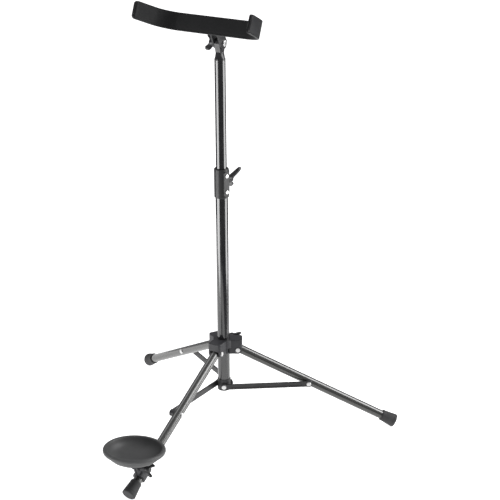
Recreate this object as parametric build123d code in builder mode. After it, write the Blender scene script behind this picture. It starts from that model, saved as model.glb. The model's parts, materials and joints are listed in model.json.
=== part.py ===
from build123d import *
from math import atan2, cos, degrees, hypot, radians, sin, tan
import os

os.makedirs("parts", exist_ok=True)

# The stand rests on the floor at z = 0 and its column stands on the origin.
# The front leg, which carries the cup, points along -Y.

# Clearances
running_fit = 0.06
pin_fit = 0.05
slot_gap = 0.3
hinge_gap = 0.25

# Tripod
leg_azimuths = (-90.0, 30.0, 150.0)
leg_length = 353.0
leg_slope = 27.4
leg_tube_radius = 8.0
leg_tube_wall = 1.0
leg_end_height = 9.5
leg_inner_overhang = 5.0
hub_pivot_radius = 26.0
brace_distance = 174.0
pivot_pin_radius = 2.5
rivet_shank_radius = 2.4
plug_length = 16.0

# Rubber feet
foot_length = 28.0
foot_top_radius = 9.8
foot_end_radius = 12.3
foot_wall = 7.0
foot_end_round = 2.2

# Braces
strut_pivot_drop = 86.0
strut_height = 10.0
strut_end_radius = 6.0
strut_thickness = 3.0
strut_groove_depth = 0.9
strut_groove_height = 5.0
strut_groove_margin = 24.0

# Hub
hub_core_radius = 19.0
hub_lobe_reach = 34.0
hub_lobe_width = 26.0
hub_sleeve_radius = 13.4
hub_ear_thickness = 3.5
hub_ear_radius = 7.0
hub_roof_above_pivot = 5.5
hub_roof_height = 14.5
hub_boss_radius = 6.4
hub_boss_reach = 23.0
hub_lobe_round = 4.5
hub_edge_round = 2.0
hub_ear_root = 6.0

# Column and riser
lower_tube_radius = 11.0
lower_tube_wall = 1.2
lower_tube_length = 415.0
base_sleeve_wall = 1.0
base_sleeve_height = 19.0
base_floor = 3.0
base_edge_round = 1.2
base_rivet_depth = 5.0
base_rivet_reach = 0.8
strut_pivot_above_tube_end = 6.0
upper_tube_radius = 9.5
upper_tube_wall = 1.2
upper_tube_length = 392.0
riser_insert = 195.0
guide_flange = 8.0
guide_plug = 18.0
guide_edge = 1.0

# Clamp collar
collar_radius = 13.0
collar_length = 53.0
collar_lip = 1.5
collar_edge = 1.2
collar_lip_gap = 0.7
bush_height = 3.5
collar_pad_azimuth = -17.0
collar_pad_width = 11.0
collar_pad_reach = 14.0
collar_pad_length = 43.0
collar_pad_round = 2.0
collar_pin_spacing = 29.2
collar_boss_radius = 7.0
collar_boss_reach = 18.0
collar_rib_length = 44.0
collar_rib_rise = 1.0
collar_rib_round = 3.0
collar_screw_azimuth = 85.0
hub_screw_azimuth = 90.0
screw_radius = 3.0

# Tilt head
tilt_height_above_tube = 29.0
neck_height = 14.0
neck_width = 10.0
neck_depth = 13.0
neck_round = 2.0
neck_step = 0.4
head_plug_length = 14.0
head_flange_height = 2.0
tongue_radius = 9.7
ear_thickness = 3.0
ear_radius = 10.0
tilt_pin_radius = 3.0

# Cradle
cradle_tilt = 23.0
cradle_forward = 30.2
cradle_rise = 22.6
cradle_half_straight = 64.8
cradle_bend_radius = 38.3
cradle_bend_angle = 80.0
cradle_lip = 46.0
band_thickness = 2.5
band_width = 28.0
pad_thickness = 3.5
pad_width = 30.6
tip_round = 4.0
bracket_low_margin = 1.5
bracket_high_margin = 3.0
bracket_gusset_margin = 6.0
bracket_sheet = 2.5
bracket_half_width = 17.0

# Cup
cup_clamp_from_end = 45.0
cup_clamp_length = 18.0
cup_clamp_wall = 3.4
cup_hinge_offset = 22.5
cup_lug_radius = 6.5
cup_lug_half_width = 4.0
cup_ear_root = 22.0
cup_ear_shift = 2.0
cup_split = 1.4
cup_clamp_edge = 1.0
cup_lug_root = 17.0
cup_split_height = 20.0
cup_split_middle = 9.0
cup_split_margin = 4.0
cup_pin_radius = 2.5
cup_lean = 3.8
cup_base_radius = 16.0
cup_base_thickness = 4.0
cup_hinge_below_base = 12.2
cup_hinge_inward = 9.7
cup_rim_radius = 53.0
cup_depth = 27.0
cup_wall = 4.0
cup_roll_radius = 3.6
cup_spacer_length = 9.0
cup_base_round = 1.5
cup_bend_reach = (0.55, 0.44)
cup_bend_rise = (0.36, 0.45)
cup_floor_share = 0.6

# Rivets, pins, bolts and screws
rivet_head_radius = 4.2
rivet_head_height = 1.6
rivet_head_round = 1.0
leg_rivet_head_radius = 4.4
leg_rivet_head_sink = 1.4
leg_rivet_head_round = 0.9
saddle_reach = 20.0
pivot_head_radius = 4.0
pivot_head_height = 1.0
pivot_crown_radius = 3.0
pivot_crown_height = 0.6
pin_end_gap = 0.1
collar_pin_head_radius = 3.6
collar_pin_head_height = 1.5
cradle_screw_offset = 12.5
cradle_screw_radius = 2.0
cradle_screw_head_radius = 3.6
cradle_screw_head_height = 2.0
tilt_bolt_head_radius = 5.6
tilt_bolt_head_height = 3.4
tilt_bolt_head_round = 1.6
tilt_bolt_tail = 8.0
washer_radius = 6.6
washer_thickness = 1.2
cup_bolt_head_radius = 5.0
cup_bolt_head_height = 3.0
cup_bolt_tail = 6.5
cup_spacer_radius = 5.8

# Butterfly grips
wing_boss_wall = 3.2
wing_boss_radius = 5.5
wing_blade_half = 2.6
wing_root_radius = 3.4
wing_root_sink = 2.0
wing_tip_radius = 4.6
wing_root_height = 0.45
wing_cap = 2.0

# Derived heights and distances
leg_direction = (cos(radians(leg_slope)), -sin(radians(leg_slope)))
leg_normal = (sin(radians(leg_slope)), cos(radians(leg_slope)))
meet_height = leg_end_height + leg_length * sin(radians(leg_slope))
hub_pivot_height = meet_height - hub_pivot_radius * tan(radians(leg_slope))
hub_pivot_along = hub_pivot_radius / cos(radians(leg_slope))
brace_radius = brace_distance * leg_direction[0]
brace_height = meet_height + brace_distance * leg_direction[1]
strut_pivot_height = meet_height - strut_pivot_drop
strut_length = hypot(brace_radius, brace_height - strut_pivot_height)
strut_rise = degrees(atan2(brace_height - strut_pivot_height, brace_radius))
base_sleeve_radius = lower_tube_radius + base_sleeve_wall
strut_inner = base_sleeve_radius + slot_gap
strut_outer = strut_inner + strut_thickness
slot_half = leg_tube_radius + slot_gap
ear_outer = slot_half + hub_ear_thickness
lower_tube_bottom = strut_pivot_height - strut_pivot_above_tube_end
lower_tube_top = lower_tube_bottom + lower_tube_length
collar_top = lower_tube_top + bush_height + collar_lip
collar_bottom = collar_top - collar_length
collar_middle = (collar_top + collar_bottom) / 2
upper_tube_bottom = lower_tube_top - riser_insert
upper_tube_top = upper_tube_bottom + upper_tube_length
tilt_height = upper_tube_top + tilt_height_above_tube
roof_bottom = hub_pivot_height + hub_roof_above_pivot
hub_screw_height = roof_bottom + hub_roof_height / 2
tongue_half = neck_width / 2
ear_inner_x = tongue_half + hinge_gap
ear_outer_x = ear_inner_x + ear_thickness
cup_along = leg_length - cup_clamp_from_end


def leg_plane(azimuth):
    """Upright plane through a leg: x outward, y up, z to the clockwise side."""
    a = radians(azimuth)
    return Plane(origin=(0, 0, 0), x_dir=(cos(a), sin(a), 0), z_dir=(sin(a), -cos(a), 0))


def leg_axis_plane(azimuth, along):
    """Plane square to a leg tube, its z running down the leg."""
    a = radians(azimuth)
    reach = along * leg_direction[0]
    height = meet_height + along * leg_direction[1]
    down_leg = (leg_direction[0] * cos(a), leg_direction[0] * sin(a), leg_direction[1])
    return Plane(
        origin=(reach * cos(a), reach * sin(a), height),
        x_dir=(sin(a), -cos(a), 0),
        z_dir=down_leg,
    )


def outward_plane(azimuth, reach, height):
    """Plane facing straight out of the column, its x level."""
    a = radians(azimuth)
    return Plane(
        origin=(reach * cos(a), reach * sin(a), height),
        x_dir=(-sin(a), cos(a), 0),
        z_dir=(cos(a), sin(a), 0),
    )


def make_wing(base, span, lift, bore, depth, turn):
    """Butterfly grip: a round boss and two leaning blades, bored when bore is above 0."""
    boss_radius = bore + wing_boss_wall if bore > 0 else wing_boss_radius
    across = base.x_dir * cos(radians(turn)) + base.y_dir * sin(radians(turn))
    grip = Plane(origin=base.origin, x_dir=across, z_dir=base.z_dir)
    blades = Plane(origin=grip.origin, x_dir=grip.x_dir, z_dir=-grip.y_dir)
    with BuildPart() as wing:
        with BuildSketch(grip):
            Circle(boss_radius)
        extrude(amount=depth)
        for side in (-1, 1):
            with BuildSketch(blades):
                with Locations((side * (boss_radius - wing_root_sink), depth * wing_root_height)):
                    Circle(wing_root_radius)
                with Locations((side * (span - wing_tip_radius), lift)):
                    Circle(wing_tip_radius)
                make_hull()
            extrude(amount=wing_blade_half, both=True)
        if bore > 0:
            with BuildSketch(grip.offset(-1)):
                Circle(bore)
            extrude(amount=depth + 1 - wing_cap, mode=Mode.SUBTRACT)
    return wing


# Lower tube of the column
with BuildPart() as lower_tube:
    with BuildSketch(Plane.XY.offset(lower_tube_bottom)):
        Circle(lower_tube_radius)
        Circle(lower_tube_radius - lower_tube_wall, mode=Mode.SUBTRACT)
    extrude(amount=lower_tube_length)
    for azimuth in leg_azimuths:
        with BuildSketch(outward_plane(azimuth - 90, 0, strut_pivot_height)):
            Circle(pivot_pin_radius)
        extrude(amount=lower_tube_radius + 1, mode=Mode.SUBTRACT)
    with BuildSketch(outward_plane(collar_screw_azimuth, 0, collar_middle)):
        Circle(screw_radius + pin_fit)
    extrude(amount=lower_tube_radius + 1, mode=Mode.SUBTRACT)
    for side in (-1, 1):
        pin_height = collar_middle + side * collar_pin_spacing / 2
        with BuildSketch(outward_plane(collar_pad_azimuth, 0, pin_height)):
            Circle(rivet_shank_radius)
        extrude(amount=lower_tube_radius + 1, mode=Mode.SUBTRACT)
lower_tube.part.label = "lower_tube"
export_step(lower_tube.part, "parts/lower_tube.step")

# Closed sleeve on the foot of the column, which carries the braces
with BuildPart() as base_fitting:
    with BuildSketch(Plane.XY.offset(lower_tube_bottom - base_floor)):
        Circle(base_sleeve_radius)
    extrude(amount=base_floor + base_sleeve_height)
    fillet(base_fitting.faces().sort_by(Axis.Z)[0].edges(), radius=base_edge_round)
    with BuildSketch(Plane.XY.offset(lower_tube_bottom)):
        Circle(lower_tube_radius)
    extrude(amount=base_sleeve_height, mode=Mode.SUBTRACT)
    for azimuth in leg_azimuths:
        with BuildSketch(outward_plane(azimuth - 90, lower_tube_radius - 2, strut_pivot_height)):
            Circle(pivot_pin_radius)
        extrude(amount=base_rivet_depth, mode=Mode.SUBTRACT)
base_fitting.part.label = "base_fitting"
export_step(base_fitting.part, "parts/base_fitting.step")

# Three rivets that hold the braces to the base
with BuildPart() as strut_pivot_rivets:
    for azimuth in leg_azimuths:
        pin_start = lower_tube_radius - lower_tube_wall - base_rivet_reach
        with BuildSketch(outward_plane(azimuth - 90, pin_start, strut_pivot_height)):
            Circle(pivot_pin_radius)
        extrude(amount=strut_outer + pin_fit - pin_start)
        with BuildSketch(outward_plane(azimuth - 90, strut_outer + pin_fit, strut_pivot_height)):
            Circle(rivet_head_radius)
        extrude(amount=rivet_head_height)
    fillet(strut_pivot_rivets.edges().filter_by(GeomType.CIRCLE)
           .filter_by(lambda e: e.radius > rivet_head_radius - 0.1
                      and hypot(e.center().X, e.center().Y) > strut_outer + 1),
           radius=rivet_head_round)
strut_pivot_rivets.part.label = "strut_pivot_rivets"
export_step(strut_pivot_rivets.part, "parts/strut_pivot_rivets.step")

# Clamp collar on the top of the lower tube
with BuildPart() as collar:
    with BuildSketch(Plane.XY.offset(collar_bottom)):
        Circle(collar_radius)
    extrude(amount=collar_length)
    chamfer(collar.edges().filter_by(GeomType.CIRCLE), length=collar_edge)
    with BuildSketch(outward_plane(collar_pad_azimuth, 0, collar_middle)):
        RectangleRounded(collar_pad_width, collar_pad_length, collar_pad_round)
    extrude(amount=collar_pad_reach)
    with BuildSketch(outward_plane(collar_screw_azimuth, 0, collar_middle)):
        RectangleRounded(collar_boss_radius * 2, collar_rib_length, collar_rib_round)
    extrude(amount=collar_radius + collar_rib_rise)
    with BuildSketch(outward_plane(collar_screw_azimuth, 0, collar_middle)):
        Circle(collar_boss_radius)
    extrude(amount=collar_boss_reach)
    with BuildSketch(Plane.XY.offset(collar_bottom)):
        Circle(lower_tube_radius)
    extrude(amount=collar_length - collar_lip, mode=Mode.SUBTRACT)
    with BuildSketch(Plane.XY.offset(collar_top - collar_lip)):
        Circle(upper_tube_radius + collar_lip_gap)
    extrude(amount=collar_lip, mode=Mode.SUBTRACT)
    with BuildSketch(outward_plane(collar_screw_azimuth, 0, collar_middle)):
        Circle(screw_radius + pin_fit)
    extrude(amount=collar_boss_reach, mode=Mode.SUBTRACT)
    for side in (-1, 1):
        pin_height = collar_middle + side * collar_pin_spacing / 2
        with BuildSketch(outward_plane(collar_pad_azimuth, 0, pin_height)):
            Circle(rivet_shank_radius)
        extrude(amount=collar_pad_reach, mode=Mode.SUBTRACT)
collar.part.label = "collar"
export_step(collar.part, "parts/collar.step")

# Slide bush under the collar's lip
with BuildPart() as collar_bush:
    with BuildSketch(Plane.XY.offset(lower_tube_top)):
        Circle(lower_tube_radius)
        Circle(upper_tube_radius + running_fit, mode=Mode.SUBTRACT)
    extrude(amount=bush_height)
collar_bush.part.label = "collar_bush"
export_step(collar_bush.part, "parts/collar_bush.step")

# Two pins through the collar's pad and the tube
with BuildPart() as collar_pins:
    for side in (-1, 1):
        pin_height = collar_middle + side * collar_pin_spacing / 2
        pin_start = lower_tube_radius - lower_tube_wall + pin_end_gap
        with BuildSketch(outward_plane(collar_pad_azimuth, pin_start, pin_height)):
            Circle(rivet_shank_radius)
        extrude(amount=collar_pad_reach - pin_start)
        with BuildSketch(outward_plane(collar_pad_azimuth, collar_pad_reach, pin_height)):
            Circle(collar_pin_head_radius)
        extrude(amount=collar_pin_head_height)
    fillet(collar_pins.edges().filter_by(GeomType.CIRCLE)
           .filter_by(lambda e: e.radius > collar_pin_head_radius - 0.1
                      and hypot(e.center().X, e.center().Y) > collar_pad_reach + 1),
           radius=rivet_head_round)
collar_pins.part.label = "collar_pins"
export_step(collar_pins.part, "parts/collar_pins.step")

# Collar clamp screw and its wing
with BuildPart() as collar_screw:
    tip_reach = upper_tube_radius + slot_gap
    with BuildSketch(outward_plane(collar_screw_azimuth, tip_reach, collar_middle)):
        Circle(screw_radius)
    extrude(amount=collar_boss_reach + slot_gap - tip_reach)
collar_screw.part.label = "collar_screw"
export_step(collar_screw.part, "parts/collar_screw.step")

collar_wing = make_wing(
    outward_plane(collar_screw_azimuth, collar_boss_reach + slot_gap, collar_middle),
    span=25.0, lift=18.5, bore=0, depth=11.0, turn=112.0,
)
collar_wing.part.label = "collar_wing"
export_step(collar_wing.part, "parts/collar_wing.step")

# Guide on the lower end of the riser tube
with BuildPart() as riser_guide:
    with BuildSketch(Plane.XY.offset(upper_tube_bottom - guide_flange - pin_fit)):
        Circle(lower_tube_radius - lower_tube_wall - running_fit)
    extrude(amount=guide_flange)
    with BuildSketch(Plane.XY.offset(upper_tube_bottom - pin_fit)):
        Circle(upper_tube_radius - upper_tube_wall - running_fit)
    extrude(amount=guide_plug)
    chamfer(riser_guide.faces().sort_by(Axis.Z)[-1].edges(), length=guide_edge)
riser_guide.part.label = "riser_guide"
export_step(riser_guide.part, "parts/riser_guide.step")

# Riser tube
with BuildPart() as upper_tube:
    with BuildSketch(Plane.XY.offset(upper_tube_bottom)):
        Circle(upper_tube_radius)
        Circle(upper_tube_radius - upper_tube_wall, mode=Mode.SUBTRACT)
    extrude(amount=upper_tube_length)
upper_tube.part.label = "upper_tube"
export_step(upper_tube.part, "parts/upper_tube.step")

# Tilt head: plug, tapered neck and round tongue
with BuildPart() as tilt_head:
    with BuildSketch(Plane.XY.offset(upper_tube_top - head_plug_length)):
        Circle(upper_tube_radius - upper_tube_wall)
    extrude(amount=head_plug_length)
    with BuildSketch(Plane.XY.offset(upper_tube_top)):
        Circle(upper_tube_radius)
    extrude(amount=head_flange_height)
    with BuildSketch(Plane.XY.offset(upper_tube_top + head_flange_height)):
        Circle(upper_tube_radius - neck_step)
    with BuildSketch(Plane.XY.offset(upper_tube_top + neck_height)):
        RectangleRounded(neck_width, neck_depth, neck_round)
    loft()
    with BuildSketch(Plane.YZ):
        with Locations((0, tilt_height)):
            Circle(tongue_radius)
        with Locations((0, upper_tube_top + neck_height)):
            Rectangle(neck_depth - 0.5, 1.0)
        make_hull()
    extrude(amount=tongue_half, both=True)
    with BuildSketch(Plane.YZ):
        with Locations((0, tilt_height)):
            Circle(tilt_pin_radius + pin_fit)
    extrude(amount=neck_width, both=True, mode=Mode.SUBTRACT)
tilt_head.part.label = "tilt_head"
export_step(tilt_head.part, "parts/tilt_head.step")

# Cradle frame: x across, y backward, z along the width of the band
tilt_angle = radians(cradle_tilt)
cradle_plane = Plane(
    origin=(0, 0, tilt_height),
    x_dir=(1, 0, 0),
    z_dir=(0, sin(tilt_angle), cos(tilt_angle)),
)
cradle_side = Plane(origin=(0, 0, tilt_height), x_dir=cradle_plane.y_dir, z_dir=(1, 0, 0))
total_thickness = band_thickness + pad_thickness
band_back = -cradle_forward + total_thickness / 2


def make_cradle_strip(outer_offset, thickness, width, edge_round):
    """U-shaped strip, measured inward from the outer face of the cradle."""
    depth = outer_offset + thickness / 2
    middle_y = band_back - depth
    bend = cradle_bend_radius + total_thickness / 2 - depth
    turn = radians(cradle_bend_angle)
    bend_end = (cradle_half_straight + bend * sin(turn), middle_y - bend * (1 - cos(turn)))
    tip = (bend_end[0] + cradle_lip * cos(turn), bend_end[1] - cradle_lip * sin(turn))
    middle = cradle_plane.offset(cradle_rise - width / 2)
    with BuildPart() as strip:
        with BuildSketch(middle):
            with BuildLine():
                right = Line((cradle_half_straight, middle_y), (-cradle_half_straight, middle_y))
                JernArc(right @ 1, (-1, 0), bend, cradle_bend_angle)
                Line((-bend_end[0], bend_end[1]), (-tip[0], tip[1]))
                JernArc(right @ 0, (1, 0), bend, -cradle_bend_angle)
                Line(bend_end, tip)
            trace(line_width=thickness)
        extrude(amount=width)
        if edge_round > 0:
            tips = strip.faces().sort_by(Axis.Y)[:2]
            fillet([e for f in tips for e in f.edges() if e.length < thickness * 1.05], edge_round)
    return strip


# Steel band and foam pad of the cradle
cradle_band = make_cradle_strip(0, band_thickness, band_width, tip_round)
with BuildPart() as cradle_band_bored:
    add(cradle_band.part)
    for side in (-1, 1):
        with BuildSketch(Plane(origin=cradle_plane.from_local_coords(
                (side * cradle_screw_offset, band_back, cradle_rise)),
                x_dir=(1, 0, 0), z_dir=-cradle_plane.y_dir)):
            Circle(cradle_screw_radius)
        extrude(amount=band_thickness, mode=Mode.SUBTRACT)
cradle_band_bored.part.label = "cradle_band"
export_step(cradle_band_bored.part, "parts/cradle_band.step")

cradle_pad = make_cradle_strip(band_thickness, pad_thickness, pad_width, tip_round)
cradle_pad.part.label = "cradle_pad"
export_step(cradle_pad.part, "parts/cradle_pad.step")

# Folded bracket behind the band, with two ears on the tilt bolt
plate_low = cradle_rise - band_width / 2 + bracket_low_margin
plate_high = cradle_rise + band_width / 2 - bracket_high_margin
gusset_height = plate_high - plate_low - bracket_gusset_margin
gusset_middle = plate_low + gusset_height / 2
with BuildPart() as cradle_bracket:
    with BuildSketch(cradle_side):
        with Locations((band_back + bracket_sheet / 2, (plate_low + plate_high) / 2)):
            Rectangle(bracket_sheet, plate_high - plate_low)
    extrude(amount=bracket_half_width, both=True)
    for side in (-1, 1):
        with BuildSketch(cradle_side.offset(side * (ear_inner_x + ear_thickness / 2))):
            Circle(ear_radius)
            with Locations((band_back + bracket_sheet, gusset_middle)):
                Rectangle(0.6, gusset_height)
            make_hull()
        extrude(amount=ear_thickness / 2, both=True)
    with BuildSketch(cradle_side):
        Circle(tilt_pin_radius)
    extrude(amount=ear_outer_x + 1, both=True, mode=Mode.SUBTRACT)
    for side in (-1, 1):
        with BuildSketch(Plane(origin=cradle_plane.from_local_coords(
                (side * cradle_screw_offset, band_back, cradle_rise)),
                x_dir=(1, 0, 0), z_dir=cradle_plane.y_dir)):
            Circle(cradle_screw_radius)
        extrude(amount=bracket_sheet, mode=Mode.SUBTRACT)
cradle_bracket.part.label = "cradle_bracket"
export_step(cradle_bracket.part, "parts/cradle_bracket.step")

# Two screws that hold the band to the bracket
with BuildPart() as cradle_screws:
    for side in (-1, 1):
        with BuildSketch(Plane(origin=cradle_plane.from_local_coords(
                (side * cradle_screw_offset, band_back - band_thickness, cradle_rise)),
                x_dir=(1, 0, 0), z_dir=cradle_plane.y_dir)):
            Circle(cradle_screw_radius)
        extrude(amount=band_thickness + bracket_sheet)
        with BuildSketch(Plane(origin=cradle_plane.from_local_coords(
                (side * cradle_screw_offset, band_back + bracket_sheet, cradle_rise)),
                x_dir=(1, 0, 0), z_dir=cradle_plane.y_dir)):
            Circle(cradle_screw_head_radius)
        extrude(amount=cradle_screw_head_height)
cradle_screws.part.label = "cradle_screws"
export_step(cradle_screws.part, "parts/cradle_screws.step")

# Tilt bolt, washer and wing nut
bolt_plane = Plane(origin=(0, 0, tilt_height), x_dir=(0, 1, 0), z_dir=(1, 0, 0))
nut_plane = Plane(origin=(0, 0, tilt_height), x_dir=(0, -1, 0), z_dir=(-1, 0, 0))
with BuildPart() as tilt_bolt:
    with BuildSketch(nut_plane.offset(-ear_outer_x)):
        Circle(tilt_pin_radius)
    extrude(amount=ear_outer_x * 2 + tilt_bolt_tail)
    with BuildSketch(bolt_plane.offset(ear_outer_x)):
        Circle(tilt_bolt_head_radius)
    extrude(amount=tilt_bolt_head_height)
    fillet(tilt_bolt.faces().sort_by(Axis.X)[-1].edges(), radius=tilt_bolt_head_round)
tilt_bolt.part.label = "tilt_bolt"
export_step(tilt_bolt.part, "parts/tilt_bolt.step")

with BuildPart() as tilt_washer:
    with BuildSketch(nut_plane.offset(ear_outer_x)):
        Circle(washer_radius)
        Circle(tilt_pin_radius, mode=Mode.SUBTRACT)
    extrude(amount=washer_thickness)
tilt_washer.part.label = "tilt_washer"
export_step(tilt_washer.part, "parts/tilt_washer.step")

tilt_wing_nut = make_wing(
    nut_plane.offset(ear_outer_x + washer_thickness + slot_gap),
    span=17.0, lift=11.0, bore=tilt_pin_radius + pin_fit, depth=9.0, turn=115.0,
)
tilt_wing_nut.part.label = "tilt_wing_nut"
export_step(tilt_wing_nut.part, "parts/tilt_wing_nut.step")

# Sliding hub: roof with three lobes, sleeve, ears and a lock boss
with BuildPart() as hub:
    with BuildSketch(Plane.XY.offset(roof_bottom)) as roof_outline:
        Circle(hub_core_radius)
        with PolarLocations(hub_lobe_reach / 2, 3, start_angle=leg_azimuths[0]):
            Rectangle(hub_lobe_reach, hub_lobe_width)
        outer_corners = roof_outline.vertices().filter_by(
            lambda v: hypot(v.X, v.Y) > hub_lobe_reach)
        fillet(outer_corners, radius=hub_lobe_round)
    extrude(amount=hub_roof_height)
    fillet(hub.faces().sort_by(Axis.Z)[-1].edges(), radius=hub_edge_round)
    with BuildSketch(Plane.XY.offset(hub_pivot_height - hub_ear_radius)):
        Circle(hub_sleeve_radius)
    extrude(amount=hub_ear_radius + hub_roof_above_pivot)
    for azimuth in leg_azimuths:
        for side in (-1, 1):
            ear_middle = side * (slot_half + hub_ear_thickness / 2)
            with BuildSketch(leg_plane(azimuth).offset(ear_middle)):
                with Locations((hub_pivot_radius, hub_pivot_height)):
                    Circle(hub_ear_radius)
                with Locations((hub_pivot_radius, roof_bottom)):
                    Rectangle(hub_ear_radius * 2, 0.5)
                with Locations((hub_sleeve_radius, hub_pivot_height)):
                    Rectangle(hub_ear_root, hub_ear_radius * 2)
                make_hull()
            extrude(amount=hub_ear_thickness / 2, both=True)
    with BuildSketch(outward_plane(hub_screw_azimuth, 0, hub_screw_height)):
        Circle(hub_boss_radius)
    extrude(amount=hub_boss_reach)
    for azimuth in leg_azimuths:
        with BuildSketch(leg_plane(azimuth)):
            with Locations((hub_pivot_radius, hub_pivot_height)):
                Circle(hypot(leg_tube_radius, leg_inner_overhang) + slot_gap)
        extrude(amount=slot_half, both=True, mode=Mode.SUBTRACT)
        with BuildSketch(leg_plane(azimuth)):
            with Locations((hub_pivot_radius, hub_pivot_height)):
                Circle(pivot_pin_radius)
        extrude(amount=ear_outer + 1, both=True, mode=Mode.SUBTRACT)
    with BuildSketch(Plane.XY):
        Circle(lower_tube_radius + running_fit)
    extrude(amount=roof_bottom + hub_roof_height + 1, mode=Mode.SUBTRACT)
    with BuildSketch(outward_plane(hub_screw_azimuth, 0, hub_screw_height)):
        Circle(screw_radius + pin_fit)
    extrude(amount=hub_boss_reach, mode=Mode.SUBTRACT)
hub.part.label = "hub"
export_step(hub.part, "parts/hub.step")

# Leg pivots in the hub
with BuildPart() as hub_pivot_rivets:
    for azimuth in leg_azimuths:
        pin_site = (hub_pivot_radius, hub_pivot_height)
        with BuildSketch(leg_plane(azimuth)):
            with Locations(pin_site):
                Circle(pivot_pin_radius)
        extrude(amount=ear_outer, both=True)
        for side in (-1, 1):
            with BuildSketch(leg_plane(azimuth).offset(side * (ear_outer + pivot_head_height / 2))):
                with Locations(pin_site):
                    Circle(pivot_head_radius)
            extrude(amount=pivot_head_height / 2, both=True)
            with BuildSketch(leg_plane(azimuth).offset(side * (ear_outer + pivot_head_height))):
                with Locations(pin_site):
                    Circle(pivot_crown_radius)
            extrude(amount=side * pivot_crown_height)
hub_pivot_rivets.part.label = "hub_pivot_rivets"
export_step(hub_pivot_rivets.part, "parts/hub_pivot_rivets.step")

# Hub lock screw and its wing
with BuildPart() as hub_screw:
    tip_reach = lower_tube_radius + slot_gap
    with BuildSketch(outward_plane(hub_screw_azimuth, tip_reach, hub_screw_height)):
        Circle(screw_radius)
    extrude(amount=hub_boss_reach + slot_gap - tip_reach)
hub_screw.part.label = "hub_screw"
export_step(hub_screw.part, "parts/hub_screw.step")

hub_wing = make_wing(
    outward_plane(hub_screw_azimuth, hub_boss_reach + slot_gap, hub_screw_height),
    span=18.0, lift=10.0, bore=0, depth=10.0, turn=158.0,
)
hub_wing.part.label = "hub_wing"
export_step(hub_wing.part, "parts/hub_wing.step")


def make_leg_tube(azimuth):
    """Leg tube, bored at the hub pivot and at the brace rivet."""
    start = hub_pivot_along - leg_inner_overhang
    with BuildPart() as tube:
        with BuildSketch(leg_axis_plane(azimuth, start)):
            Circle(leg_tube_radius)
            Circle(leg_tube_radius - leg_tube_wall, mode=Mode.SUBTRACT)
        extrude(amount=leg_length - foot_wall - start)
        with BuildSketch(leg_plane(azimuth)):
            with Locations((hub_pivot_radius, hub_pivot_height)):
                Circle(pivot_pin_radius + pin_fit)
            with Locations((brace_radius, brace_height)):
                Circle(rivet_shank_radius)
        extrude(amount=leg_tube_radius + 1, both=True, mode=Mode.SUBTRACT)
    return tube


def make_leg_plug(azimuth):
    """Filler in the upper end of the leg, bored for the hub pivot."""
    start = hub_pivot_along - leg_inner_overhang
    with BuildPart() as plug:
        with BuildSketch(leg_axis_plane(azimuth, start)):
            Circle(leg_tube_radius - leg_tube_wall)
        extrude(amount=plug_length)
        with BuildSketch(leg_plane(azimuth)):
            with Locations((hub_pivot_radius, hub_pivot_height)):
                Circle(pivot_pin_radius + pin_fit)
        extrude(amount=leg_tube_radius + 1, both=True, mode=Mode.SUBTRACT)
    return plug


def make_foot(azimuth):
    """Flared rubber cap, cut level with the floor."""
    with BuildPart() as foot:
        with BuildSketch(leg_axis_plane(azimuth, leg_length - foot_length)):
            Circle(foot_top_radius)
        with BuildSketch(leg_axis_plane(azimuth, leg_length)):
            Circle(foot_end_radius)
        loft()
        fillet(foot.edges().filter_by(GeomType.CIRCLE).sort_by(Edge.length)[-1], radius=foot_end_round)
        with BuildSketch(leg_axis_plane(azimuth, leg_length - foot_length)):
            Circle(leg_tube_radius)
        extrude(amount=foot_length - foot_wall, mode=Mode.SUBTRACT)
        split(bisect_by=Plane.XY, keep=Keep.TOP)
    return foot


def make_leg_spacer(azimuth):
    """Saddle flange between the leg and its brace."""
    with BuildPart() as spacer:
        with BuildSketch(leg_plane(azimuth).offset(leg_tube_radius / 2)):
            with Locations((brace_radius, brace_height)):
                Circle(strut_end_radius)
                Circle(rivet_shank_radius, mode=Mode.SUBTRACT)
        extrude(amount=base_sleeve_radius - leg_tube_radius / 2)
        with BuildSketch(leg_axis_plane(azimuth, brace_distance - saddle_reach)):
            Circle(leg_tube_radius)
        extrude(amount=saddle_reach * 2, mode=Mode.SUBTRACT)
    return spacer


def make_leg_rivet(azimuth):
    """Brace rivet through the leg, its head on the side away from the brace."""
    head_start = leg_tube_radius - leg_rivet_head_sink
    with BuildPart() as rivet:
        with BuildSketch(leg_plane(azimuth).offset(-leg_tube_radius - rivet_head_height)):
            with Locations((brace_radius, brace_height)):
                Circle(leg_rivet_head_radius)
        extrude(amount=leg_tube_radius + rivet_head_height - head_start)
        inner_end = rivet.faces().sort_by(Axis((0, 0, 0), leg_plane(azimuth).z_dir))[0]
        fillet(inner_end.edges(), leg_rivet_head_round)
        with BuildSketch(leg_axis_plane(azimuth, brace_distance - saddle_reach)):
            Circle(leg_tube_radius)
        extrude(amount=saddle_reach * 2, mode=Mode.SUBTRACT)
        with BuildSketch(leg_plane(azimuth).offset(-leg_tube_radius)):
            with Locations((brace_radius, brace_height)):
                Circle(rivet_shank_radius)
        extrude(amount=leg_tube_radius + base_sleeve_radius)
    return rivet


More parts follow.
